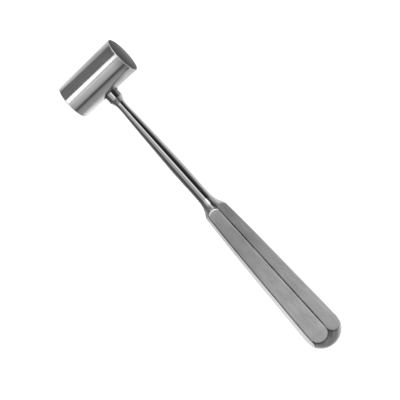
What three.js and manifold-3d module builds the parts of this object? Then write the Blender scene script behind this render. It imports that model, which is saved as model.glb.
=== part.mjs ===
// Bone mallet: a solid steel striking head on a baluster neck, with a hollow
// six-sided handle. All sizes are in millimetres.
//
// Frame: the mallet lies on its side. +X runs along the head, through its two
// striking faces. +Y runs along the neck and handle, towards the head. +Z is up,
// out of the handle's top flat. The origin is under the middle of the object, on
// the surface that it lies on.
//
// Stations along the neck and handle are given as v, the distance from the
// head's centre towards the handle's end. In the group's own frame y = -v.
import * as THREE from "three";
import { mergeVertices } from "three/addons/utils/BufferGeometryUtils.js";
import Module from "manifold-3d";

// ---- driving dimensions ----
const HEAD_DIAMETER = 26;
const HEAD_LENGTH = 45.6;
const HEAD_CHAMFER = 0.5; // broken edge round each striking face
const SEAT_RADIUS = 5.25; // spot-face that the neck's collar sits in
const SEAT_V = 11.3;
const SOCKET_RADIUS = 3.25; // blind hole for the neck's spigot
const SOCKET_END_V = -7;
const SPIGOT_RADIUS = 3.18;
const SPIGOT_END_V = -6.4;
const PIN_RADIUS = 1.25;
const PIN_HOLE_RADIUS = 1.3;
const HEAD_PIN_DEPTH = 18; // driven in from the underside of the head
const FILLET_LEG = 0.7; // braze fillet round the collar
const NECK_END_V = 110.8;
const TANG_RADIUS = 3.5;
const TANG_END_V = 134;
const MOUTH_V = 111.4; // front edge of the handle's shells
const BUSH_END_V = 130;
const BUSH_BORE_RADIUS = 3.58;
const TANG_PIN_V = 122;
const WALL = 1.2; // pressed sheet of the handle's shells
const EDGE_WIDTH = 1.1; // narrow round strip between two flats
const DOME_RADIUS = 13.3;
const DOME_V = 213.2;
const DOME_DEPTH = 13.2;
const HANDLE_TURN = -3.6; // degrees that the handle is turned about its axis, against the head
const SEAM_HALF = 0.35; // half the seam weld's thickness
const FIT = 0.05; // clearance between pieces that are brazed or welded
const AXIS_HEIGHT = HEAD_DIAMETER / 2;
const TIP_V = DOME_V + DOME_DEPTH;
const TOTAL_LENGTH = HEAD_DIAMETER / 2 + TIP_V; // 239.4 overall
const HEAD_Y = TOTAL_LENGTH / 2 - HEAD_DIAMETER / 2;

// Neck, from collar to flange: [v, radius]
const COLLAR = [
  [SEAT_V + FIT, 5.19],
  [14.0, 5.19],
  [17.3, 5.2],
  [17.7, 5.16],
  [18.1, 5.03],
];
const BALUSTER = [
  [18.45, 4.8],
  [19.0, 4.44],
  [19.7, 4.08],
  [20.5, 3.71],
  [21.2, 3.41],
  [22.2, 3.26],
  [23.5, 3.16],
  [26.0, 3.11],
  [33.6, 3.4],
  [40, 3.62],
  [46.3, 3.8],
  [52.6, 3.96],
  [59, 4.1],
  [65.3, 4.27],
  [71.6, 4.42],
  [78, 4.52],
  [87, 4.48],
  [97, 4.38],
  [100.5, 4.4],
  [103.3, 4.5],
  [105, 4.72],
  [106.6, 5.06],
  [107.9, 5.44],
  [109, 5.86],
  [110, 6.35],
  [NECK_END_V, 6.8],
];
// Handle's mouth, turned: [v, radius]
const MOUTH = [
  [MOUTH_V, 7.15],
  [112.1, 7.54],
  [112.7, 7.92],
  [113.3, 8.25],
  [114.1, 8.53],
];
// Handle's round strip between flats: [v, radius]
const STRIP = [
  [114.1, 8.53],
  [122, 9.08],
  [130, 9.6],
  [139, 10.12],
  [148, 10.55],
  [157.5, 10.99],
  [167, 11.42],
  [176.5, 11.83],
  [186, 12.24],
  [196, 12.68],
  [205, 13.07],
  [210, 13.24],
  [DOME_V, DOME_RADIUS],
];

// ---- helpers ----
const wasm = await Module();
wasm.setup();

// A closed three.js geometry as a manifold-3d solid.
function solid(geometry) {
  const g = geometry.clone();
  g.deleteAttribute("normal");
  g.deleteAttribute("uv");
  const merged = mergeVertices(g, 1e-4);
  const keep = [];
  const index = merged.index.array;
  for (let i = 0; i < index.length; i += 3) {
    const [a, b, c] = [index[i], index[i + 1], index[i + 2]];
    if (a !== b && b !== c && c !== a) keep.push(a, b, c);
  }
  const build = (tris) =>
    new wasm.Manifold(
      new wasm.Mesh({
        numProp: 3,
        vertProperties: new Float32Array(merged.attributes.position.array),
        triVerts: new Uint32Array(tris),
      }),
    );
  const made = build(keep);
  if (made.volume() > 0) return made;
  const flipped = [];
  for (let i = 0; i < keep.length; i += 3)
    flipped.push(keep[i], keep[i + 2], keep[i + 1]);
  return build(flipped);
}

function geometryOf(manifold) {
  const m = manifold.getMesh();
  const positions = new Float32Array(m.numVert * 3);
  for (let i = 0; i < m.numVert; i++)
    positions.set(
      m.vertProperties.subarray(i * m.numProp, i * m.numProp + 3),
      i * 3,
    );
  const g = new THREE.BufferGeometry();
  g.setAttribute("position", new THREE.BufferAttribute(positions, 3));
  g.setIndex(new THREE.BufferAttribute(new Uint32Array(m.triVerts), 1));
  g.computeVertexNormals();
  return g;
}

// Monotone cubic through [station, value] pairs.
function monotone(points) {
  const x = points.map((p) => p[0]);
  const y = points.map((p) => p[1]);
  const n = x.length;
  const d = [];
  for (let i = 0; i < n - 1; i++) d.push((y[i + 1] - y[i]) / (x[i + 1] - x[i]));
  const m = [d[0]];
  for (let i = 1; i < n - 1; i++)
    m.push(
      d[i - 1] * d[i] <= 0 ? 0 : (2 * d[i - 1] * d[i]) / (d[i - 1] + d[i]),
    );
  m.push(d[n - 2]);
  return (t) => {
    if (t <= x[0]) return y[0] + m[0] * (t - x[0]);
    if (t >= x[n - 1]) return y[n - 1] + m[n - 1] * (t - x[n - 1]);
    let i = 0;
    while (t > x[i + 1]) i++;
    const h = x[i + 1] - x[i];
    const s = (t - x[i]) / h;
    return (
      (1 + 2 * s) * (1 - s) * (1 - s) * y[i] +
      s * (1 - s) * (1 - s) * h * m[i] +
      s * s * (3 - 2 * s) * y[i + 1] +
      s * s * (s - 1) * h * m[i + 1]
    );
  };
}

// A solid of revolution about the Y axis from [v, radius] pairs.
function turned(profile, segments, start = 0) {
  const points = profile.map(([v, r]) => new THREE.Vector2(r, -v));
  return new THREE.LatheGeometry(points, segments, start);
}

function rod(radius, length, segments = 24) {
  return new THREE.CylinderGeometry(radius, radius, length, segments);
}

const steps = (from, to, count) =>
  Array.from({ length: count + 1 }, (_, i) => from + ((to - from) * i) / count);

const baluster = monotone(BALUSTER);
const strip = monotone(STRIP);
// Distance from the axis to a flat, from the radius of the strips beside it.
const flat = (v) => {
  const r = strip(Math.min(v, DOME_V));
  return r * Math.cos(Math.PI / 6 - Math.asin(EDGE_WIDTH / 2 / r));
};

// ---- striking head: solid bar, turned, faces ground flat ----
const R = HEAD_DIAMETER / 2;
const H = HEAD_LENGTH / 2;
const headBlank = turned(
  [
    [-H, 0],
    [-H, R - HEAD_CHAMFER],
    [-H + HEAD_CHAMFER, R],
    [H - HEAD_CHAMFER, R],
    [H, R - HEAD_CHAMFER],
    [H, 0],
  ],
  96,
).rotateZ(Math.PI / 2);
const socket = turned(
  [
    [SOCKET_END_V - 1.9, 0],
    [SOCKET_END_V, SOCKET_RADIUS],
    [SEAT_V, SOCKET_RADIUS],
    [SEAT_V, SEAT_RADIUS],
    [R + 2, SEAT_RADIUS],
    [R + 2, 0],
  ],
  48,
);
const headPinHole = rod(PIN_HOLE_RADIUS, HEAD_PIN_DEPTH + 2)
  .rotateX(Math.PI / 2)
  .translate(0, 0, -R + HEAD_PIN_DEPTH / 2 - 0.8);
const head = solid(headBlank)
  .subtract(solid(socket))
  .subtract(solid(headPinHole));

// ---- neck: one forging with spigot, collar, baluster, flange and tang ----
const neckProfile = [
  [SPIGOT_END_V, 0],
  [SPIGOT_END_V, SPIGOT_RADIUS - 0.5],
  [SPIGOT_END_V + 0.5, SPIGOT_RADIUS],
  [SEAT_V - 1.6, SPIGOT_RADIUS],
  [SEAT_V - 1.3, SPIGOT_RADIUS - 0.35],
  [SEAT_V + FIT, SPIGOT_RADIUS - 0.35],
  ...COLLAR,
  ...[
    18.45, 19.1, 19.8, 20.5, 21.2, 22.2, 23.5, 26, 30, 36, 44, 52, 60, 69, 78,
    90, 99, 102, 104.2, 106, 107.4, 108.6, 109.7, NECK_END_V,
  ].map((v) => [v, baluster(v)]),
  [NECK_END_V, TANG_RADIUS],
  [TANG_END_V - 0.8, TANG_RADIUS],
  [TANG_END_V, TANG_RADIUS - 0.8],
  [TANG_END_V, 0],
];
const headPinCut = rod(PIN_HOLE_RADIUS, 40).rotateX(Math.PI / 2);
const tangPinCut = rod(PIN_HOLE_RADIUS, 40)
  .rotateX(Math.PI / 2)
  .rotateY((HANDLE_TURN * Math.PI) / 180)
  .translate(0, -TANG_PIN_V, 0);
const neck = solid(turned(neckProfile, 40))
  .subtract(solid(headPinCut))
  .subtract(solid(tangPinCut));

// ---- lock pin through the head's underside and the spigot ----
const headPinLength = HEAD_PIN_DEPTH - 0.4;
const headPin = solid(
  rod(PIN_RADIUS, headPinLength)
    .rotateX(Math.PI / 2)
    .translate(0, 0, -R + 0.12 + headPinLength / 2),
);

// ---- braze fillet: a ring whose foot follows the head's round surface ----
const FILLET = [
  [0.04, SEAT_RADIUS],
  [FILLET_LEG, SEAT_RADIUS],
  [FILLET_LEG * 0.62, SEAT_RADIUS + FILLET_LEG * 0.1],
  [FILLET_LEG * 0.32, SEAT_RADIUS + FILLET_LEG * 0.32],
  [FILLET_LEG * 0.12, SEAT_RADIUS + FILLET_LEG * 0.66],
  [0.04, SEAT_RADIUS + FILLET_LEG],
  [0.04, SEAT_RADIUS],
];
const filletRing = turned(FILLET, 40);
const at = filletRing.attributes.position;
for (let i = 0; i < at.count; i++) {
  const z = at.getZ(i);
  at.setY(i, at.getY(i) - Math.sqrt(R * R - z * z));
}
const fillet = solid(filletRing);

// ---- weld bead between the neck's flange and the handle's mouth ----
const bead = solid(
  turned(
    [
      [NECK_END_V + FIT, 5],
      [NECK_END_V + FIT, 6.82],
      [NECK_END_V + 0.3, 6.96],
      [MOUTH_V - FIT, 7.11],
      [MOUTH_V - FIT, 5],
      [NECK_END_V + FIT, 5],
    ],
    40,
  ),
);

// ---- handle: two pressed half shells and the weld between them ----
const HEX_START = Math.PI / 6; // corners on the X axis before the handle is turned
const handleStations = steps(122, 202, 8).concat([208, DOME_V]);
const dome = (radius, depth, count) =>
  steps(0, Math.PI / 2, count).map((a) => [
    DOME_V + depth * Math.sin(a),
    radius * Math.cos(a),
  ]);
const outerTurned = turned(
  [
    [MOUTH_V, 0],
    ...MOUTH,
    ...handleStations.slice(0, -1).map((v) => [v, strip(v)]),
    ...dome(DOME_RADIUS, DOME_DEPTH, 11).slice(0, -1),
    [TIP_V, 0],
  ],
  72,
);
const hexagon = (from, to, inset, stations) =>
  turned(
    [
      [from, 0],
      ...[from, ...stations, to].map((v) => [
        v,
        (flat(v) - inset) / Math.cos(Math.PI / 6),
      ]),
      [to, 0],
    ],
    6,
    HEX_START,
  );
const outer = solid(outerTurned).intersect(
  solid(hexagon(MOUTH_V - 1, 230, 0, [114.1, ...handleStations])),
);
const innerTurned = turned(
  [
    [MOUTH_V - 2, 0],
    [MOUTH_V - 2, 6.2],
    [MOUTH_V, 6.2],
    [114.5, 7.15],
    ...[122, BUSH_END_V, 148, 168, 188, 208].map((v) => [v, strip(v) - WALL]),
    ...dome(DOME_RADIUS - WALL, DOME_DEPTH - WALL, 6).slice(0, -1),
    [TIP_V - WALL, 0],
  ],
  48,
);
const inner = solid(innerTurned).intersect(
  solid(hexagon(MOUTH_V - 3, 230, WALL, [114.1, 119, 125, BUSH_END_V, 150, 182, 206, DOME_V])),
);
const shell = outer.subtract(inner);
const slab = (low, high) =>
  solid(
    new THREE.BoxGeometry(60, 300, high - low).translate(
      0,
      -150,
      (low + high) / 2,
    ),
  );
const inPlace = (body) => body.rotate([0, HANDLE_TURN, 0]);
const upperShell = inPlace(shell.intersect(slab(SEAM_HALF + FIT, 40)));
const lowerShell = inPlace(shell.intersect(slab(-40, -SEAM_HALF - FIT)));
const seam = inPlace(shell.intersect(slab(-SEAM_HALF, SEAM_HALF)));

// ---- bush that carries the tang inside the handle's mouth ----
const bushBlank = solid(
  hexagon(MOUTH_V + FIT, BUSH_END_V, WALL + FIT, [114.1, 119, 125]),
)
  .intersect(
    solid(
      turned(
        [
          [MOUTH_V, 0],
          [MOUTH_V, 6.1],
          [114.5, 7.05],
          [BUSH_END_V + 1, strip(BUSH_END_V) - WALL - 0.2],
          [BUSH_END_V + 1, 0],
        ],
        48,
      ),
    ),
  )
  .subtract(
    solid(rod(BUSH_BORE_RADIUS, 60, 48).translate(0, -120, 0)),
  );
const bush = inPlace(bushBlank).subtract(solid(tangPinCut));

const tangPin = inPlace(
  solid(
    rod(PIN_RADIUS, 2 * (flat(TANG_PIN_V) - WALL - 0.25))
      .rotateX(Math.PI / 2)
      .translate(0, -TANG_PIN_V, 0),
  ),
);

// ---- materials ----
const steel = (color, roughness) =>
  new THREE.MeshStandardMaterial({ color, roughness, metalness: 1 });
const headSteel = steel(0xb9babb, 0.22);
const neckSteel = steel(0xc6c7c8, 0.08);
const satinSteel = steel(0xa4a5a6, 0.42);
const weldSteel = steel(0xb4b4b4, 0.2);
const brazeMetal = steel(0x8b8a86, 0.25);
const pinSteel = steel(0x9a9b9c, 0.35);

// ---- assembly ----
const mallet = new THREE.Group();
mallet.position.set(0, HEAD_Y, AXIS_HEIGHT);
for (const [name, body, material] of [
  ["striking_head", head, headSteel],
  ["head_lock_pin", headPin, pinSteel],
  ["head_braze_fillet", fillet, brazeMetal],
  ["neck_shaft", neck, neckSteel],
  ["mouth_weld_bead", bead, weldSteel],
  ["mouth_bush", bush, pinSteel],
  ["tang_cross_pin", tangPin, pinSteel],
  ["handle_shell_upper", upperShell, satinSteel],
  ["handle_shell_lower", lowerShell, satinSteel],
  ["handle_seam_weld", seam, weldSteel],
]) {
  const mesh = new THREE.Mesh(geometryOf(body), material);
  mesh.name = name;
  mallet.add(mesh);
}
const root = new THREE.Group();
root.add(mallet);

export default root;
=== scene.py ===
import math

import bmesh
import bpy
import numpy as np
from mathutils import Matrix, Vector


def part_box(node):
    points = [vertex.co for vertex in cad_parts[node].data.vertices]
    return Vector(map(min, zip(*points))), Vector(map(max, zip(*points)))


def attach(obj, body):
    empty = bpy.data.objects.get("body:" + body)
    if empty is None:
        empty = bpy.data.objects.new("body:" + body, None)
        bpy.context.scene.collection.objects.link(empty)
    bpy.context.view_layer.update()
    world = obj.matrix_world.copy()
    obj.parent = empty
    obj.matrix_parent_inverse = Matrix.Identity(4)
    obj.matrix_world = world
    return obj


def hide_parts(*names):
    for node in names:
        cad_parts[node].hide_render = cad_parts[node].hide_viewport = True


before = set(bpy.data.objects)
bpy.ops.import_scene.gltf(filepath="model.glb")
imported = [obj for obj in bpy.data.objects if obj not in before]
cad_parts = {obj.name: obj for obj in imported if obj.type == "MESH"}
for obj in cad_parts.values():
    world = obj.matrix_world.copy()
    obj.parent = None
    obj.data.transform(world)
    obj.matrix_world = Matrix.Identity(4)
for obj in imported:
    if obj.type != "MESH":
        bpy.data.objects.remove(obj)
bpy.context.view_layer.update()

# ------------------------------------------------------------------ sizes
# Metres in the row's frame, millimetres in the profiles below. v is the
# distance from the head's centre towards the handle's end, so y = HEAD_Y - v.
MM = 0.001
head_lo, head_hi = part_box("striking_head")
HEAD_R = (head_hi.z - head_lo.z) / 2 / MM
HEAD_H = (head_hi.x - head_lo.x) / 2 / MM
HEAD_Y = (head_lo.y + head_hi.y) / 2 / MM
AXIS_Z = (head_lo.z + head_hi.z) / 2 / MM
neck_lo, neck_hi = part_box("neck_shaft")
shell_lo, shell_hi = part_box("handle_shell_upper")
seam_lo, seam_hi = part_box("handle_seam_weld")
TIP_V = HEAD_Y - seam_lo.y / MM
MOUTH_V = HEAD_Y - shell_hi.y / MM
NECK_END_V = MOUTH_V - 0.6
SEAT_V, SEAT_R = 11.3, 5.25
EDGE_WIDTH = 1.1
DOME_R, DOME_V = 13.3, 213.2
DOME_DEPTH = TIP_V - DOME_V
TURN = math.radians(-3.6)  # the handle's turn about its own axis
WALL = 1.2
SEAM_HALF = 0.35
CLEAR = 0.004  # hairline left between pieces that are brazed or welded

COLLAR = [(14.0, 5.19), (17.2, 5.19), (17.5, 5.18), (17.75, 5.14), (17.92, 5.08), (18.02, 5.02)]
BALUSTER = [
    (18.02, 5.02), (18.45, 4.8), (19.0, 4.44), (19.7, 4.08), (20.5, 3.71), (21.2, 3.41),
    (22.2, 3.26), (23.5, 3.16), (26.0, 3.11), (33.6, 3.4), (40, 3.62), (46.3, 3.8),
    (52.6, 3.96), (59, 4.1), (65.3, 4.27), (71.6, 4.42), (78, 4.52), (87, 4.48),
    (97, 4.38), (100.5, 4.4), (103.3, 4.5), (105, 4.72), (106.6, 5.06), (107.9, 5.44),
    (109, 5.86), (110, 6.35), (110.8, 6.8), (111.4, 7.15), (112.1, 7.54), (112.7, 7.92),
    (113.3, 8.25), (114.1, 8.53),
]
STRIP = [
    (114.1, 8.53), (122, 9.08), (130, 9.6), (139, 10.12), (148, 10.55), (157.5, 10.99),
    (167, 11.42), (176.5, 11.83), (186, 12.24), (196, 12.68), (205, 13.07), (210, 13.24),
    (213.2, 13.3),
]


def monotone(points):
    """Monotone cubic through (station, value) pairs."""
    x = np.array([p[0] for p in points], float)
    y = np.array([p[1] for p in points], float)
    d = np.diff(y) / np.diff(x)
    m = np.zeros(len(x))
    m[0], m[-1] = d[0], d[-1]
    for i in range(1, len(x) - 1):
        m[i] = 0 if d[i - 1] * d[i] <= 0 else 2 * d[i - 1] * d[i] / (d[i - 1] + d[i])

    def f(t):
        t = np.asarray(t, float)
        i = np.clip(np.searchsorted(x, t) - 1, 0, len(x) - 2)
        h = x[i + 1] - x[i]
        s = (t - x[i]) / h
        return (
            (1 + 2 * s) * (1 - s) ** 2 * y[i]
            + s * (1 - s) ** 2 * h * m[i]
            + s * s * (3 - 2 * s) * y[i + 1]
            + s * s * (s - 1) * h * m[i + 1]
        )

    return f


baluster = monotone(BALUSTER)
strip = monotone(STRIP)


def flat_of(r):
    """Distance from the axis to a flat beside a strip of radius r."""
    return r * np.cos(np.pi / 6 - np.arcsin(EDGE_WIDTH / 2 / r))


# ------------------------------------------------------------------ mesh helpers
def place(points):
    """Local (x, v, z) in millimetres to the row's frame in metres."""
    p = np.asarray(points, float).reshape(-1, 3)
    return np.stack([p[:, 0], HEAD_Y - p[:, 1], AXIS_Z + p[:, 2]], 1) * MM


def turned_about_axis(points):
    """The handle's pieces, turned about their own long axis."""
    p = np.array(points, float)
    x, z = p[:, 0].copy(), p[:, 2].copy()
    p[:, 0] = x * math.cos(TURN) + z * math.sin(TURN)
    p[:, 2] = -x * math.sin(TURN) + z * math.cos(TURN)
    return p


def make(name, points, faces, material, sharp_deg=35.0, marks=None):
    mesh = bpy.data.meshes.new(name)
    mesh.from_pydata([tuple(p) for p in place(points)], [], [tuple(int(i) for i in f) for f in faces])
    for key, values in (marks or {}).items():
        layer = mesh.attributes.new(key, "FLOAT", "POINT")
        layer.data.foreach_set("value", np.asarray(values, np.float32))
    bm = bmesh.new()
    bm.from_mesh(mesh)
    bmesh.ops.remove_doubles(bm, verts=bm.verts, dist=1e-7)
    bmesh.ops.dissolve_degenerate(bm, dist=1e-8, edges=bm.edges)
    bmesh.ops.recalc_face_normals(bm, faces=bm.faces)
    bm.to_mesh(mesh)
    bm.free()
    mesh.update()
    obj = bpy.data.objects.new(name, mesh)
    bpy.context.scene.collection.objects.link(obj)
    smooth(obj, sharp_deg)
    mesh.materials.append(material)
    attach(obj, "root")
    return obj


def smooth(obj, sharp_deg):
    mesh = obj.data
    mesh.polygons.foreach_set("use_smooth", np.ones(len(mesh.polygons), bool))
    bm = bmesh.new()
    bm.from_mesh(mesh)
    limit = math.radians(sharp_deg)
    for e in bm.edges:
        e.smooth = not (len(e.link_faces) == 2 and e.calc_face_angle(0) > limit)
    bm.to_mesh(mesh)
    bm.free()


def grid_faces(rows, cols, wrap, offset=0, flip=False):
    faces = []
    for i in range(rows - 1):
        for j in range(cols if wrap else cols - 1):
            k = (j + 1) % cols
            a, b = offset + i * cols + j, offset + i * cols + k
            c, d = offset + (i + 1) * cols + k, offset + (i + 1) * cols + j
            faces.append((a, d, c, b) if flip else (a, b, c, d))
    return faces


def lathe(profile, segments, closed=False):
    """Points and faces of a turned solid about the handle's axis. The profile
    is (v, r) pairs; it starts and ends on the axis, or is closed."""
    th = np.arange(segments) * 2 * np.pi / segments
    pts, index = [], []
    for v, r in profile:
        if r < 1e-9:
            index.append([len(pts)] * segments)
            pts.append((0, v, 0))
        else:
            index.append(list(range(len(pts), len(pts) + segments)))
            pts.extend(zip(r * np.cos(th), np.full(segments, v), r * np.sin(th)))
    faces = []
    pairs = list(zip(index[:-1], index[1:])) + ([(index[-1], index[0])] if closed else [])
    for a, b in pairs:
        for j in range(segments):
            k = (j + 1) % segments
            f = [a[j], a[k], b[k], b[j]]
            f = [x for n, x in enumerate(f) if x not in f[:n]]
            if len(f) > 2:
                faces.append(f)
    return np.array(pts, float), faces


def cut(obj, cutter):
    m = obj.modifiers.new("cut", "BOOLEAN")
    m.operation, m.solver, m.object = "DIFFERENCE", "EXACT", cutter
    bpy.context.view_layer.update()
    dg = bpy.context.evaluated_depsgraph_get()
    made = bpy.data.meshes.new_from_object(obj.evaluated_get(dg))
    obj.modifiers.clear()
    materials = [s for s in obj.data.materials]
    obj.data = made
    obj.data.materials.clear()
    for s in materials:
        obj.data.materials.append(s)
    bpy.data.objects.remove(cutter)


def plain_object(name, points, faces):
    mesh = bpy.data.meshes.new(name)
    mesh.from_pydata([tuple(p) for p in place(points)], [], [tuple(int(i) for i in f) for f in faces])
    bm = bmesh.new()
    bm.from_mesh(mesh)
    bmesh.ops.remove_doubles(bm, verts=bm.verts, dist=1e-7)
    bmesh.ops.recalc_face_normals(bm, faces=bm.faces)
    bm.to_mesh(mesh)
    bm.free()
    obj = bpy.data.objects.new(name, mesh)
    bpy.context.scene.collection.objects.link(obj)
    return obj


# ------------------------------------------------------------------ materials
class Nodes:
    """Small wrapper that keeps the node code short."""

    def __init__(self, tree):
        self.tree = tree

    def add(self, kind, **inputs):
        n = self.tree.nodes.new(kind)
        for key, value in inputs.items():
            if key.startswith("_"):
                setattr(n, key[1:], value)
            else:
                self.put(n, key, value)
        return n

    def put(self, n, key, value):
        socket = n.inputs[int(key[1:])] if key[0] == "i" and key[1:].isdigit() else n.inputs[key.replace("_", " ")]
        if isinstance(value, bpy.types.NodeSocket):
            self.tree.links.new(value, socket)
        else:
            socket.default_value = value

    def math(self, op, a, b=0.0, c=None, clamp=False):
        n = self.add("ShaderNodeMath", _operation=op, _use_clamp=clamp, i0=a, i1=b)
        if c is not None:
            self.put(n, "i2", c)
        return n.outputs[0]

    def remap(self, value, a, b, c, d):
        return self.add("ShaderNodeMapRange", Value=value, From_Min=a, From_Max=b, To_Min=c, To_Max=d).outputs[0]

    def noise(self, vector, scale, detail=2.0, rough=0.5, distortion=0.0):
        n = self.add("ShaderNodeTexNoise", Vector=vector, Scale=scale, Detail=detail, Roughness=rough, Distortion=distortion)
        return n.outputs["Fac"] if "Fac" in n.outputs else n.outputs[0]

    def stretched(self, vector, x, y, z):
        return self.add("ShaderNodeMapping", Vector=vector, Scale=(x, y, z)).outputs[0]

    def ramp(self, value, stops, interpolation="LINEAR"):
        n = self.add("ShaderNodeValToRGB", Fac=value)
        r = n.color_ramp
        r.interpolation = interpolation
        while len(r.elements) > 1:
            r.elements.remove(r.elements[-1])
        r.elements[0].position = stops[0][0]
        r.elements[0].color = (*[stops[0][1]] * 3, 1)
        for pos, level in stops[1:]:
            e = r.elements.new(pos)
            e.color = (*[level] * 3, 1)
        return n.outputs[0]


def steel(name, color, roughness, along, grain=0.02, mottle=0.03, rough_var=0.03, bump=0.02,
          fine=2600.0, tint=(1.0, 1.0, 1.0), scratches=0.0, edges=None, painted_light_along=False, painted_rim_shade=False):
    """Steel with a directional grain. along is 'x', 'y' or 'around' for the
    direction that the polishing marks run in."""
    mat = bpy.data.materials.new(name)
    mat.use_nodes = True
    t = mat.node_tree
    t.nodes.clear()
    n = Nodes(t)
    out = n.add("ShaderNodeOutputMaterial")
    shader = n.add("ShaderNodeBsdfPrincipled")
    shader.inputs["Metallic"].default_value = 1.0
    shader.inputs["Specular IOR Level"].default_value = 0.5
    t.links.new(shader.outputs[0], out.inputs[0])
    where = n.add("ShaderNodeTexCoord").outputs["Object"]
    k = {"x": (0.03, 1, 1), "y": (1, 0.03, 1), "around": (1, 1, 1)}[along]
    if along == "around":
        k = (1, 0.9, 1)
    hair = n.noise(n.stretched(where, *k), fine, 3.0, 0.6)
    streak = n.noise(n.stretched(where, *[c if c == 1 else c * 1.6 for c in k]), fine * 0.32, 2.0, 0.55)
    cloud = n.noise(n.stretched(where, *[1 if c == 1 else 0.45 for c in k]), 160.0, 3.0, 0.55, 0.4)
    broad = n.noise(where, 55.0, 2.0, 0.5)
    tone = n.math("ADD", n.remap(hair, 0.25, 0.75, -grain, grain), n.remap(streak, 0.25, 0.75, -grain, grain))
    tone = n.math("ADD", tone, n.remap(cloud, 0.3, 0.7, -mottle, mottle))
    tone = n.math("ADD", tone, n.remap(broad, 0.3, 0.7, -mottle * 0.7, mottle * 0.7))
    level = n.math("ADD", tone, 1.0)
    if painted_light_along:  # painted light and shade: the handle is painted brighter towards its end, in a ramp along its length
        y = n.add("ShaderNodeSeparateXYZ", Vector=where).outputs[1]
        place_y = n.remap(y, -0.120, -0.005, 0.0, 1.0)
        painted_gain = n.ramp(place_y, [(0.0, 0.44), (0.05, 0.47), (0.15, 0.58), (0.39, 0.545), (0.57, 0.475), (0.75, 0.40), (0.9, 0.41), (1.0, 0.47)])
        level = n.math("MULTIPLY", level, n.math("MULTIPLY", painted_gain, 2.0))
    if painted_rim_shade:  # painted shade: the head is painted darker beside the near rim, for the softbox's fall-off in its reflection
        x = n.add("ShaderNodeSeparateXYZ", Vector=where).outputs[0]
        level = n.math("MULTIPLY", level, n.remap(x, 0.0155, 0.0210, 1.0, 0.84))
    if edges:
        corner = n.add("ShaderNodeAttribute", _attribute_type="GEOMETRY", _attribute_name="corner").outputs["Fac"]
        rim = n.add("ShaderNodeAttribute", _attribute_type="GEOMETRY", _attribute_name="rim").outputs["Fac"]
        end = n.add("ShaderNodeAttribute", _attribute_type="GEOMETRY", _attribute_name="end").outputs["Fac"]
        # painted highlight: the corner strips are painted brighter
        level = n.math("ADD", level, n.math("MULTIPLY", corner, edges["corner_highlight"]))
        # painted shade: the corner strips are painted darker near the dome end
        level = n.math("ADD", level, n.math("MULTIPLY", end, edges["end_shade"]))
        # painted highlight: the arc where the facets start is painted brighter; its lower roughness is the real finish
        level = n.math("ADD", level, n.math("MULTIPLY", rim, edges["rim_highlight"]))
    level = n.math("MINIMUM", level, 1.4)
    col = n.add("ShaderNodeVectorMath", _operation="SCALE", i0=tuple(color * c for c in tint))
    n.put(col, "Scale", level)
    t.links.new(col.outputs[0], shader.inputs["Base Color"])
    r = n.math("ADD", n.remap(cloud, 0.3, 0.7, -rough_var, rough_var), n.remap(streak, 0.25, 0.75, -rough_var * 0.6, rough_var * 0.6))
    r = n.math("ADD", r, roughness, clamp=True)
    if edges:
        r = n.math("ADD", r, n.math("MULTIPLY", corner, edges["corner_rough"]), clamp=True)
        r = n.math("ADD", r, n.math("MULTIPLY", rim, edges["rim_rough"]), clamp=True)
    t.links.new(r, shader.inputs["Roughness"])
    height = n.math("ADD", n.math("MULTIPLY", hair, 0.6), n.math("MULTIPLY", streak, 0.4))
    if scratches:
        v = n.add("ShaderNodeTexVoronoi", _feature="DISTANCE_TO_EDGE", Scale=fine * 0.06,
                  Vector=n.stretched(where, *[c if c == 1 else 0.08 for c in k]))
        line = n.remap(v.outputs["Distance"], 0.0, 0.02, -scratches, 0.0)
        height = n.math("ADD", height, line)
    b = n.add("ShaderNodeBump", Strength=bump, Distance=0.00005, Height=height)
    t.links.new(b.outputs[0], shader.inputs["Normal"])
    return mat


mat_head = steel("head_steel", 0.63, 0.15, "x", grain=0.03, mottle=0.025, rough_var=0.025, bump=0.04, painted_rim_shade=True)
mat_neck = steel("neck_steel", 0.68, 0.06, "y", grain=0.01, mottle=0.01, rough_var=0.012, bump=0.01)
# the handle's colour carries painted light: a ramp along its length, painted highlights on the corners and the facets'
# start, and painted shade at the end
mat_handle = steel("handle_steel", 0.60, 0.29, "y", grain=0.075, mottle=0.10, rough_var=0.03, bump=0.09, scratches=0.3,
                   edges={"corner_highlight": 0.34, "corner_rough": -0.02, "end_shade": -0.5, "rim_highlight": 0.5, "rim_rough": -0.17}, painted_light_along=True)
# the bevel's rougher ground finish is real; its brighter colour is a painted highlight along the head's rim
mat_bevel = steel("bevel_steel", 0.90, 0.58, "around", grain=0.02, mottle=0.03, rough_var=0.03, bump=0.03)
mat_weld = steel("weld_steel", 0.66, 0.19, "y", grain=0.015, mottle=0.03, rough_var=0.03, bump=0.03)
mat_braze = steel("braze_metal", 0.22, 0.20, "around", grain=0.02, mottle=0.06, rough_var=0.05, bump=0.05, tint=(1.0, 0.985, 0.96))
mat_pin = steel("pin_steel", 0.52, 0.28, "around", grain=0.02, mottle=0.02, rough_var=0.03, bump=0.04)

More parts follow.
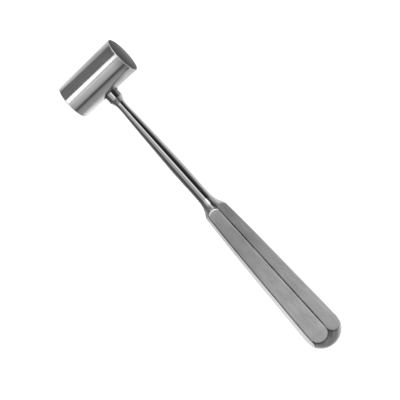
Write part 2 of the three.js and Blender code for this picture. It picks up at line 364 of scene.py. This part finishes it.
# ------------------------------------------------------------------ striking head
CH = 0.62
half = HEAD_H - 0.002
prof = [(-half, 0.0), (-half, HEAD_R - 3.0)]
prof += [(-half + CH - CH * math.cos(a), HEAD_R - 0.002 - CH + CH * math.sin(a)) for a in np.linspace(0, math.pi / 2, 9)]
prof += [(half - CH + CH * math.cos(a), HEAD_R - 0.002 - CH + CH * math.sin(a)) for a in np.linspace(math.pi / 2, 0, 9)]
prof += [(half, HEAD_R - 3.0), (half, 0.0)]
pts, faces = lathe(prof, 320)
pts = np.stack([pts[:, 1], pts[:, 0], pts[:, 2]], 1)
head = make("striking_head_body", pts, faces, mat_head)
sp, sf = lathe([(-8.9, 0), (-7, 3.25), (SEAT_V, 3.25), (SEAT_V, SEAT_R), (16, SEAT_R), (16, 0)], 96)
cut(head, plain_object("socket_cutter", sp, sf))
pp, pf = lathe([(0, 0), (0, 1.3), (21, 1.3), (21, 0)], 48)
pp = np.stack([pp[:, 0], pp[:, 2], pp[:, 1] - 13.0 - 1.8], 1)
cut(head, plain_object("pin_cutter", pp, pf))
smooth(head, 35)
head.data.materials.append(mat_bevel)
for poly in head.data.polygons:
    nx, rad = abs(poly.normal.x), math.hypot(poly.center.y - HEAD_Y * MM, poly.center.z - AXIS_Z * MM)
    if 0.05 < nx < 0.995 and rad > (HEAD_R - CH - 0.1) * MM:
        poly.material_index = 1
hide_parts("striking_head")

# ------------------------------------------------------------------ lock pin, with a slightly domed end
L = 17.6
prof = [(0, 0), (0.0, 0.5), (0.03, 0.95), (0.12, 1.18), (0.25, 1.25), (L - 0.3, 1.25), (L, 0.95), (L, 0)]
pp, pf = lathe(prof, 64)
pp = np.stack([pp[:, 0], pp[:, 2], pp[:, 1] - 13.0 + 0.06], 1)
pin = make("head_lock_pin_body", pp, pf, mat_pin)
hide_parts("head_lock_pin")

# ------------------------------------------------------------------ neck: one forging
stations = np.concatenate([
    np.linspace(18.1, 22.5, 45), np.linspace(22.7, 34, 40), np.linspace(34.5, 99, 110),
    np.linspace(99.3, NECK_END_V - CLEAR, 90),
])
prof = [(-6.4, 0), (-6.4, 2.68), (-5.9, 3.18), (SEAT_V - 1.6, 3.18), (SEAT_V - 1.3, 2.83), (SEAT_V + 0.01, 2.83), (SEAT_V + 0.01, 5.19)]
prof += COLLAR
prof += [(float(v), float(baluster(v))) for v in stations]
prof += [(NECK_END_V - CLEAR, 3.5), (133.2, 3.5), (134, 2.7), (134, 0)]
pts, faces = lathe(prof, 192)
neck = make("neck_shaft_body", pts, faces, mat_neck, 30)
for v0, turn in ((0.0, False), (122.0, True)):
    pp, pf = lathe([(-10, 0), (-10, 1.3), (10, 1.3), (10, 0)], 48)
    pp = np.stack([pp[:, 0], pp[:, 2] + v0, pp[:, 1]], 1)
    cut(neck, plain_object("pin_cutter", turned_about_axis(pp) if turn else pp, pf))
smooth(neck, 30)
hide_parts("neck_shaft")

# ------------------------------------------------------------------ braze fillet
LEG = 0.7
prof = [(0.01, SEAT_R - 0.055)]
prof += [(LEG, SEAT_R - 0.055)]
a0 = np.linspace(0, math.pi / 2, 13)
prof += [(LEG * (1 - math.sin(a)), SEAT_R - 0.03 + LEG * (1 - math.cos(a))) for a in a0[1:]]
prof += [(0.01, SEAT_R - 0.03 + LEG)]
pts, faces = lathe(prof, 192, closed=True)
pts[:, 1] += np.sqrt(np.maximum((HEAD_R - 0.0) ** 2 - pts[:, 2] ** 2, 0))
fillet = make("head_braze_fillet_body", pts, faces, mat_braze, 50)
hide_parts("head_braze_fillet")

# ------------------------------------------------------------------ weld bead at the mouth, ground flush
vs = np.linspace(NECK_END_V + CLEAR, MOUTH_V - CLEAR, 9)
prof = [(float(vs[0]), 5.0)] + [(float(v), float(baluster(v)) - 0.004) for v in vs] + [(float(vs[-1]), 5.0)]
pts, faces = lathe(prof, 192, closed=True)
bead = make("mouth_weld_bead_body", pts, faces, mat_neck, 50)
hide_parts("mouth_weld_bead")

# ------------------------------------------------------------------ handle's section
SOFT = 0.10  # how far the line between a flat and a strip is rounded


def section(theta, radius, flat):
    """Radius of the handle's section at each angle: a circle cut by six flats,
    with a soft line where they meet. Flats face up and down, corners on X."""
    k = (theta - np.pi / 6 + np.pi / 6) % (np.pi / 3) - np.pi / 6
    line = flat / np.cos(k)
    d = line - radius
    return (line + radius - np.sqrt(d * d + SOFT * SOFT * 0.3)) / 2 + 0.0


def section_marks(theta, radius, flat, v):
    """How much each point belongs to a corner strip, to the facet's start, and to a corner strip near the dome end. The
    material paints a highlight on the first two and paints shade on the last.
    """
    k = theta % (np.pi / 3) - np.pi / 6
    d = flat / np.cos(k) - radius
    up = np.clip((d + 0.10) / 0.14, 0, 1)
    down = 1 - np.clip((d - 0.30) / 0.5, 0, 1)
    corner = up * up * (3 - 2 * up) * down * down * (3 - 2 * down)
    rim = np.exp(-((d - 0.02) / 0.10) ** 2) * np.clip((115.0 - v) / 0.5, 0, 1) * np.clip((v - 111.9) / 0.3, 0, 1)
    corner = corner * np.clip((v - 112.6) / 0.5, 0, 1) * (1 - rim)
    at_end = np.clip((v - DOME_V + 1.0) / 3.0, 0, 1)
    return corner * (1 - at_end), rim, corner * at_end


def turn_in(v):
    """How far the flats have curved in, in mm, before they meet the dome."""
    t = min(1.0, max(0.0, (v - 211.0) / 6.5))
    return 0.38 * t * t * (3 - 2 * t)


def handle_rings():
    rings = []
    for v in np.concatenate([np.linspace(MOUTH_V, 114.1, 28), np.linspace(114.4, 122, 12), np.linspace(123, 212, 70), np.linspace(212.4, DOME_V, 5)]):
        r = float(baluster(v)) if v < 114.1 else float(strip(v))
        f = float(flat_of(strip(max(v, 114.1)))) - (114.1 - v) * 0.06 * (v < 114.1)
        rings.append((float(v), r, f - turn_in(float(v))))
    for a in np.linspace(0, math.pi / 2, 60)[1:]:
        v = DOME_V + DOME_DEPTH * math.sin(a)
        rings.append((v, DOME_R * math.cos(a), float(flat_of(DOME_R)) - turn_in(v)))
    return rings


def thetas(t0, t1):
    """Angles from t0 to t1, closer together near the corners."""
    base = np.linspace(0, 1, 40)
    warp = (1 - np.cos(np.pi * base)) / 2
    warp = (1 - np.cos(np.pi * warp)) / 2 * 0.6 + warp * 0.4
    edges = [0, np.pi / 3, 2 * np.pi / 3, np.pi]
    a = np.unique(np.concatenate([e0 + (e1 - e0) * warp for e0, e1 in zip(edges[:-1], edges[1:])]))
    return t0 + (t1 - t0) * a / np.pi


def shell(name, node, sign):
    cut_z = SEAM_HALF + CLEAR
    outer, inner = [], []
    rings = [q for q in handle_rings() if q[1] > cut_z * 1.02]
    cols = len(thetas(0, math.pi))

    def row(v, r, f):
        q = min(r, f / math.cos(math.pi / 6))
        t0 = math.asin(min(1.0, cut_z / q))
        th = thetas(t0, math.pi - t0)
        rr = section(th, r, f)
        z = rr * np.sin(th)
        x = rr * np.cos(th)
        z[0] = z[-1] = cut_z
        corner, rim, end = section_marks(th, r, f, v)
        corners.append(corner)
        rims.append(rim)
        ends.append(end)
        return np.stack([x, np.full(cols, v), sign * z], 1)

    corners, rims, ends = [], [], []
    for v, r, f in rings:
        outer.append(row(v, r, f))
    for v, r, f in [(MOUTH_V, 7.45, 7.4), (114.5, 8.4, 7.6)] + [q for q in rings if 118 < q[0] <= DOME_V][::6]:
        inner.append(row(v, r - WALL, f - WALL))
    for a in np.linspace(0, math.pi / 2, 16)[1:-1]:
        r = (DOME_R - WALL) * math.cos(a)
        if r > cut_z * 1.5:
            inner.append(row(DOME_V + (DOME_DEPTH - WALL) * math.sin(a), r, float(flat_of(DOME_R)) - WALL))
    no, ni = len(outer), len(inner)
    tip = (0, rings[-1][0] + 0.0005, sign * cut_z)
    pts = np.concatenate(outer + inner + [np.array([tip]), np.array([[0, TIP_V - WALL, sign * cut_z]])])
    faces = grid_faces(no, cols, False) + grid_faces(ni, cols, False, no * cols, True)
    o_tip, i_tip = (no + ni) * cols, (no + ni) * cols + 1
    last_o, last_i = (no - 1) * cols, (no + ni - 1) * cols
    for j in range(cols - 1):
        faces.append((last_o + j, last_o + j + 1, o_tip))
        faces.append((last_i + j + 1, last_i + j, i_tip))
        faces.append((j + 1, j, no * cols + j, no * cols + j + 1))
    # side walls along the seam: one strip from each outer row to the inner rows
    for j in (0, cols - 1):
        oc = [i * cols + j for i in range(no)] + [o_tip]
        ic = [(no + i) * cols + j for i in range(ni)] + [i_tip]
        a = b = 0
        py = lambda i: pts[i][1]
        while a < len(oc) - 1 or b < len(ic) - 1:
            if b == len(ic) - 1 or (a < len(oc) - 1 and py(oc[a + 1]) <= py(ic[b + 1])):
                tri = (oc[a], oc[a + 1], ic[b])
                a += 1
            else:
                tri = (oc[a], ic[b + 1], ic[b])
                b += 1
            faces.append(tri)
    marks = {
        "corner": np.concatenate(corners + [np.zeros(2)]),
        "rim": np.concatenate(rims + [np.zeros(2)]),
        "end": np.concatenate(ends + [np.zeros(2)]),
    }
    obj = make(name, turned_about_axis(pts), faces, mat_handle, 40, marks)
    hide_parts(node)
    return obj


upper = shell("handle_shell_upper_body", "handle_shell_upper", 1)
lower = shell("handle_shell_lower_body", "handle_shell_lower", -1)


def seam():
    """U-shaped strip of weld metal along both sides and round the dome."""
    zs = np.linspace(-SEAM_HALF, SEAM_HALF, 7)
    path = []  # not used
    rings = handle_rings()
    outer_rows, inner_rows = [], []
    for v, r, f in rings:
        if r > 0.6:
            outer_rows.append((v, r))
    ro = []
    for v, r in outer_rows:
        ro.append([(math.sqrt(max(r * r - z * z, 0)) - 0.002, v, z) for z in zs])
    # round the tip
    tip_rows = []
    for x in np.linspace(outer_rows[-1][1], -outer_rows[-1][1], 9)[1:-1]:
        rowp = []
        for z in zs:
            q = min(1.0, math.hypot(x, z) / DOME_R)
            rowp.append((x, DOME_V + DOME_DEPTH * math.sqrt(1 - q * q) - 0.001, z))
        tip_rows.append(rowp)
    left = [[(-x, v, z) for x, v, z in row] for row in ro][::-1]
    outer = ro + tip_rows + left
    n_out = len(outer)
    ins = []
    for row in outer:
        x, v, z = row[3]
        nv = np.array([0.0, 0.0])
        if v < DOME_V:
            nv = np.array([math.copysign(1, x), 0.0])
            rin = (abs(x) - WALL) if v > 114.5 else 6.2 + (v - MOUTH_V) / (114.5 - MOUTH_V) * 0.95
            ins.append([(math.copysign(rin, x), v, zz) for zz in zs])
        else:
            s = np.array([x / DOME_R, (v - DOME_V) / DOME_DEPTH])
            ang = math.atan2(s[1], s[0])
            xi, vi = (DOME_R - WALL) * math.cos(ang), DOME_V + (DOME_DEPTH - WALL) * math.sin(ang)
            ins.append([(xi, vi, zz) for zz in zs])
    pts = np.array([p for row in outer for p in row] + [p for row in ins for p in row])
    c = len(zs)
    off = n_out * c
    faces = grid_faces(n_out, c, False) + grid_faces(n_out, c, False, off, True)
    for i in range(n_out - 1):
        for j in (0, c - 1):
            faces.append((i * c + j, (i + 1) * c + j, off + (i + 1) * c + j, off + i * c + j))
    for i in (0, n_out - 1):
        for j in range(c - 1):
            faces.append((i * c + j, i * c + j + 1, off + i * c + j + 1, off + i * c + j))
    # the seam's corner mark takes the painted corner highlight, which fades out at the dome
    marks = {"corner": np.where(np.arange(len(pts)) < off, np.clip((DOME_V - pts[:, 1]) / 3, 0, 1), 0), "rim": np.zeros(len(pts)), "end": np.zeros(len(pts))}
    obj = make("handle_seam_weld_body", turned_about_axis(pts), faces, mat_handle, 40, marks)
    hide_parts("handle_seam_weld")
    return obj


seam_piece = seam()

# hidden pieces keep their CAD solids and get a finish
for node, mat in (("mouth_bush", mat_pin), ("tang_cross_pin", mat_pin)):
    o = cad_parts[node]
    o.data.materials.clear()
    o.data.materials.append(mat)

# ------------------------------------------------------------------ camera
AZ, EL, ROLL = math.radians(14.8), math.radians(-3.0), math.radians(41.76)
DIST = 1.10  # metres from the middle of the mallet
PX_PER_M = 1570.0
d = Vector((math.cos(EL) * math.sin(AZ), math.sin(EL), math.cos(EL) * math.cos(AZ)))
up = (Vector((0, 1, 0)) - d * d.y).normalized()
right = up.cross(d)
R_im = right * math.cos(ROLL) - up * math.sin(ROLL)
U_im = right * math.sin(ROLL) + up * math.cos(ROLL)
cam_data = bpy.data.cameras.new("camera")
cam = bpy.data.objects.new("camera", cam_data)
bpy.context.scene.collection.objects.link(cam)
cam_data.type = "PERSP"
cam_data.sensor_width = 36.0
cam_data.lens = 36.0 * DIST / (400.0 / PX_PER_M)
cam_data.clip_start, cam_data.clip_end = 0.05, 20
cam_data.dof.use_dof = False
pivot = Vector((0, (HEAD_Y - 106.0) * MM, AXIS_Z * MM))
TX, TY = 208.05, 201.95
loc = pivot + d * DIST - R_im * ((TX - 200) / PX_PER_M) + U_im * ((TY - 200) / PX_PER_M)
cam.matrix_world = Matrix((
    (R_im.x, U_im.x, d.x, loc.x), (R_im.y, U_im.y, d.y, loc.y), (R_im.z, U_im.z, d.z, loc.z), (0, 0, 0, 1)))
bpy.context.scene.camera = cam

# ------------------------------------------------------------------ studio
scene = bpy.context.scene
scene.view_settings.view_transform = "Standard"
scene.view_settings.look = "None"


def rect(name, x0, x1, y0, y1, z, material):
    mesh = bpy.data.meshes.new(name)
    mesh.from_pydata([(x0, y0, z), (x1, y0, z), (x1, y1, z), (x0, y1, z)], [], [(0, 1, 2, 3)])
    obj = bpy.data.objects.new(name, mesh)
    scene.collection.objects.link(obj)
    mesh.materials.append(material)
    return obj


def reflected_only(obj):
    """A studio card that only shows in reflections."""
    obj.visible_camera = False
    obj.visible_diffuse = False
    obj.visible_shadow = False
    obj.visible_transmission = False
    obj.visible_volume_scatter = False
    return obj


def emitter(name, build):
    mat = bpy.data.materials.new(name)
    mat.use_nodes = True
    mat.node_tree.nodes.clear()
    n = Nodes(mat.node_tree)
    out = n.add("ShaderNodeOutputMaterial")
    e = n.add("ShaderNodeEmission")
    level = build(n)
    if isinstance(level, bpy.types.NodeSocket):
        mat.node_tree.links.new(level, e.inputs["Strength"])
    else:
        e.inputs["Strength"].default_value = level
    mat.node_tree.links.new(e.outputs[0], out.inputs[0])
    return mat


# pale floor that the camera sees
floor_mat = bpy.data.materials.new("floor")
floor_mat.use_nodes = True
floor_mat.node_tree.nodes.clear()
n = Nodes(floor_mat.node_tree)
out = n.add("ShaderNodeOutputMaterial")
diffuse = n.add("ShaderNodeBsdfDiffuse", Color=(0.8, 0.8, 0.8, 1))
glow = n.add("ShaderNodeEmission", Color=(1, 1, 1, 1), Strength=0.85)
both = n.add("ShaderNodeAddShader")
floor_mat.node_tree.links.new(diffuse.outputs[0], both.inputs[0])
floor_mat.node_tree.links.new(glow.outputs[0], both.inputs[1])
floor_mat.node_tree.links.new(both.outputs[0], out.inputs[0])
floor = rect("floor", -3, 3, -3, 3, -0.00005, floor_mat)
floor.visible_glossy = False


# the floor as the steel mirrors it: brightness by place, in millimetres
def by_place(n, value, low, high, stops):
    """A brightness curve along one coordinate in metres; stops in millimetres."""
    t = n.remap(value, low * MM, high * MM, 0.0, 1.0)
    return n.ramp(t, [((a - low) / (high - low), v / 2) for a, v in stops])


FLOOR_NECK = [
    (-400, 0.10), (-60, 0.10), (-32, 0.10), (-27, 0.4), (-21, 0.62), (-10, 0.5), (0, 0.5), (8, 0.75),
    (14, 0.9), (25, 0.75), (48, 0.52), (100, 0.4), (186, 0.28), (400, 0.2),
]
FLOOR_HANDLE = [
    (-400, 0.2), (-120, 0.35), (-60, 0.6), (-40, 0.9), (-24, 1.05), (-15, 1.05), (0, 1.0), (15, 0.95), (30, 0.85),
    (60, 0.72), (100, 0.62), (200, 0.5), (400, 0.4),
]
FLOOR_HEAD = [
    (0, 0.42), (6, 0.48), (44, 0.62), (63, 0.8), (74, 0.98), (83, 1.15), (90, 1.31), (97, 1.5), (118, 1.5),
    (124, 1.3), (131, 1.0), (143, 0.82), (163, 0.64), (209, 0.52), (520, 0.42),
]
FLOOR_END = [(-400, 0.36), (-240, 0.32), (-180, 0.29), (-155, 0.31), (-140, 0.45), (-130, 0.7), (-122, 1.0), (-118, 1.0), (0, 1.0)]


# scales the mirrored floor next to the head; its drop at positive x is a painted shadow of the head on the floor
UNDER_HEAD = [
    (-70, 0.35), (-60, 0.5), (-42, 1.1), (-30, 1.15), (-20, 1.08), (-5, 0.88), (8, 0.78), (15, 0.70), (22, 0.40), (40, 0.32), (70, 0.3),
]


def floor_level(n):
    where = n.add("ShaderNodeTexCoord").outputs["Object"]
    sep = n.add("ShaderNodeSeparateXYZ", Vector=where)
    x, y = sep.outputs[0], sep.outputs[1]
    neck_side = by_place(n, x, -400, 400, FLOOR_NECK)
    handle_side = by_place(n, x, -400, 400, FLOOR_HANDLE)
    head_side = by_place(n, y, 0, 520, FLOOR_HEAD)
    under_head = n.math("MULTIPLY", by_place(n, x, -70, 70, UNDER_HEAD), 2.0)
    head_side = n.math("MULTIPLY", n.math("MULTIPLY", head_side, under_head), n.remap(y, 0.002, 0.012, 0.0, 1.0))
    far = n.remap(y, -0.012, -0.002, 1.0, 0.0)
    end_side = by_place(n, y, -400, 0, FLOOR_END)
    past = n.remap(y, -0.128, -0.118, 1.0, 0.0)
    handle_side = n.math("ADD", n.math("MULTIPLY", end_side, past), n.math("MULTIPLY", handle_side, n.math("SUBTRACT", 1.0, past)))
    base = n.math("ADD", n.math("MULTIPLY", handle_side, far), n.math("MULTIPLY", neck_side, n.math("SUBTRACT", 1.0, far)))
    return n.math("MULTIPLY", n.math("MAXIMUM", base, head_side), 2.0)


mirror_floor = reflected_only(rect("floor_card", -4, 4, -4, 4, -0.0001, emitter("floor_card", floor_level)))


# a grey patch at the foot of the near striking face, seen only in reflections: painted shade of the floor where the
# head shadows it
FOOT = [(22.9, 0.55), (23.5, 0.40), (24.3, 0.27), (25.5, 0.20), (27.3, 0.13), (29.3, 0.09), (36, 0.08), (50, 0.08)]


def foot_level(n):
    where = n.add("ShaderNodeTexCoord").outputs["Object"]
    x = n.add("ShaderNodeSeparateXYZ", Vector=where).outputs[0]
    return n.math("MULTIPLY", by_place(n, x, 22.9, 50, FOOT), 2.0)


reflected_only(rect("foot_shade_card", 0.0229, 0.050, 0.088, 0.130, 0.0002, emitter("foot_shade_card", foot_level)))

# cards round the head and the joint: a white softbox, dark drapes, a grey curtain
def card(name, corners, level):
    mesh = bpy.data.meshes.new(name)
    mesh.from_pydata([tuple(c * MM for c in p) for p in corners], [], [(0, 1, 2, 3)])
    obj = bpy.data.objects.new(name, mesh)
    scene.collection.objects.link(obj)
    build = level if callable(level) else (lambda n: level)
    mesh.materials.append(emitter(name, build))
    return reflected_only(obj)


SKY = 73  # height of the cards above the head
card("head_softbox", [(-60, 108.6, SKY), (30, 110.8, SKY), (30, 127.0, SKY), (-60, 136.5, SKY)], 1.7)


def drape_level(n):
    y = n.add("ShaderNodeSeparateXYZ", Vector=n.add("ShaderNodeTexCoord").outputs["Object"]).outputs[1]
    return n.math("MULTIPLY", by_place(n, y, 126, 176, [(126, 0.16), (140, 0.165), (153, 0.215), (176, 0.21)]), 2.0)


card("head_drape_top", [(-60, 136.5, SKY), (30, 127.0, SKY), (30, 175, SKY), (-60, 175, SKY)], drape_level)
card("head_drape_back", [(-70, 175, SKY), (32, 175, SKY), (32, 175, 18.5), (-70, 175, 18.5)], 0.20)
card("edge_softbox", [(34, 107.5, 60), (90, 107.5, 60), (90, 165, 60), (34, 165, 60)], 1.3)
card("joint_softbox", [(-8.2, -4.6, 25), (2.2, -4.6, 25), (2.2, -1.5, 25), (-8.2, -1.5, 25)], 2.5)
card("joint_baffle", [(5.5, 10, 14), (13.5, 10, 14), (13.5, 10, 30), (5.5, 10, 30)], 0.06)
card("curtain", [(-80, -4.4, 0.1), (-9.5, -4.4, 0.1), (-9.5, -4.4, 24), (-80, -4.4, 24)], 0.43)

# the room: soft boxes and dark drapes, as a brightness for each direction
world = bpy.data.worlds.new("studio")
scene.world = world
world.use_nodes = True
world.node_tree.nodes.clear()
n = Nodes(world.node_tree)
out = n.add("ShaderNodeOutputWorld")
direction = n.add("ShaderNodeTexCoord").outputs["Generated"]
sep = n.add("ShaderNodeSeparateXYZ", Vector=direction)
dx, dy, dz = sep.outputs


def by_angle(value, stops):
    return n.ramp(value, [((a + 180.0) / 360.0, v / 2) for a, v in stops])


def smooth_step(value, a, b):
    m = n.add("ShaderNodeMapRange", _interpolation_type="SMOOTHSTEP", Value=value, From_Min=a, From_Max=b, To_Min=0.0, To_Max=1.0)
    return m.outputs[0]


def mix_level(a, b, share):
    return n.math("ADD", n.math("MULTIPLY", a, n.math("SUBTRACT", 1.0, share)), n.math("MULTIPLY", b, share))


beta = n.math("ADD", n.math("MULTIPLY", n.math("ARCTAN2", dy, dz), 1 / (2 * math.pi)), 0.5)
alpha = n.math("ADD", n.math("MULTIPLY", n.math("ARCTAN2", dx, dz), 1 / (2 * math.pi)), 0.5)
ROOM_HEAD = [
    (-180, 0.3), (-104, 0.46), (-96, 0.42), (-88, 0.40), (-80, 0.39), (-70, 0.365), (-62, 0.20), (-56, 0.06),
    (-50.5, 0.12), (-45.5, 0.36), (-39.5, 0.55), (-33, 0.61), (-24, 0.66), (-15, 0.74), (-9, 0.82), (-4, 1.0), (1, 1.5),
    (8, 1.7), (20, 1.7), (26, 0.9), (40, 0.5), (90, 0.4), (180, 0.8),
]
ROOM_NECK = [
    (-180, 0.10), (-60, 0.09), (-50, 0.10), (-44, 0.16), (-38, 0.28), (-31, 0.45), (-23, 0.57), (-15, 0.48), (-9, 0.44),
    (-3, 0.48), (3, 0.76), (9, 1.2), (14, 1.2), (18, 0.85), (23, 0.36), (28, 0.08), (33, 0.02), (48, 0.012), (56, 0.03),
    (65, 0.05), (74, 0.075), (83, 0.11), (92, 0.17), (180, 0.3),
]
ROOM_FLARE = [
    (-180, 0.1), (-70, 0.12), (-52, 0.17), (-40, 0.33), (-27, 0.62), (-12, 0.76), (0, 0.85), (5, 1.5), (11, 2.0),
    (20, 1.7), (27, 0.8), (34, 0.2), (41, 0.06), (60, 0.06), (71, 0.12), (82, 0.45), (94, 0.85), (112, 0.85), (180, 0.5),
]
ROOM_STEEP = [
    (-180, 0.3), (-110, 0.3), (-85, 0.22), (-67, 0.17), (-50, 0.20), (-28, 0.28), (-8, 0.52), (5, 0.85), (12, 1.15),
    (18, 1.0), (24, 0.45), (30, 0.25), (40, 0.15), (58, 0.12), (70, 0.14), (82, 0.3), (95, 0.58), (110, 0.8), (125, 0.85), (180, 0.9),
]
for_head = by_angle(beta, ROOM_HEAD)
turned = n.math("SUBTRACT", alpha, 0.9 / 360)
for_neck = mix_level(by_angle(turned, ROOM_NECK), by_angle(turned, ROOM_FLARE), smooth_step(dy, 0.17, 0.40))
for_neck = mix_level(for_neck, by_angle(turned, ROOM_STEEP), smooth_step(dy, 0.50, 0.74))
# stops are half the factor that the brightness is multiplied by
along = n.ramp(n.remap(dy, -1.0, 1.0, 0.0, 1.0), [
    (0.0, 0.2), (0.25, 0.2), (0.36, 0.3), (0.44, 0.5), (0.55, 0.5), (0.62, 0.54), (0.84, 0.54), (0.95, 0.40)])
for_neck = n.math("MULTIPLY", for_neck, n.math("MULTIPLY", along, 2.0))
below = smooth_step(dy, -0.15, -0.40)
for_neck = n.math("MAXIMUM", for_neck, n.math("MULTIPLY", below, 0.07))
side_light = n.math("MULTIPLY", smooth_step(dy, -0.2, -0.38), smooth_step(alpha, (68 + 180) / 360, (88 + 180) / 360))
for_neck = mix_level(for_neck, 0.25, side_light)
near_head_line = n.math("SUBTRACT", 1.0, smooth_step(n.math("ABSOLUTE", n.math("ADD", dx, 0.255)), 0.10, 0.16))
level = mix_level(for_neck, for_head, n.math("MULTIPLY", near_head_line, smooth_step(dy, -0.01, -0.06)))
room = n.add("ShaderNodeBackground", Color=(1, 1, 1, 1))
world.node_tree.links.new(n.math("MULTIPLY", level, 2.0), room.inputs["Strength"])
pale = n.add("ShaderNodeBackground", Color=(0.96, 0.96, 0.96, 1), Strength=1.0)
ray = n.add("ShaderNodeLightPath")
seen = n.add("ShaderNodeMixShader")
world.node_tree.links.new(ray.outputs["Is Camera Ray"], seen.inputs[0])
world.node_tree.links.new(room.outputs[0], seen.inputs[1])
world.node_tree.links.new(pale.outputs[0], seen.inputs[2])
world.node_tree.links.new(seen.outputs[0], out.inputs[0])

# a soft overhead lamp for the floor
lamp_data = bpy.data.lights.new("overhead", "AREA")
lamp_data.shape, lamp_data.size, lamp_data.size_y = "RECTANGLE", 1.6, 1.6
lamp_data.energy = 9.0
lamp_data.specular_factor = 0.0
lamp = bpy.data.objects.new("overhead", lamp_data)
lamp.location = (0, 0, 1.4)
lamp.visible_glossy = False
lamp.visible_camera = False
scene.collection.objects.link(lamp)
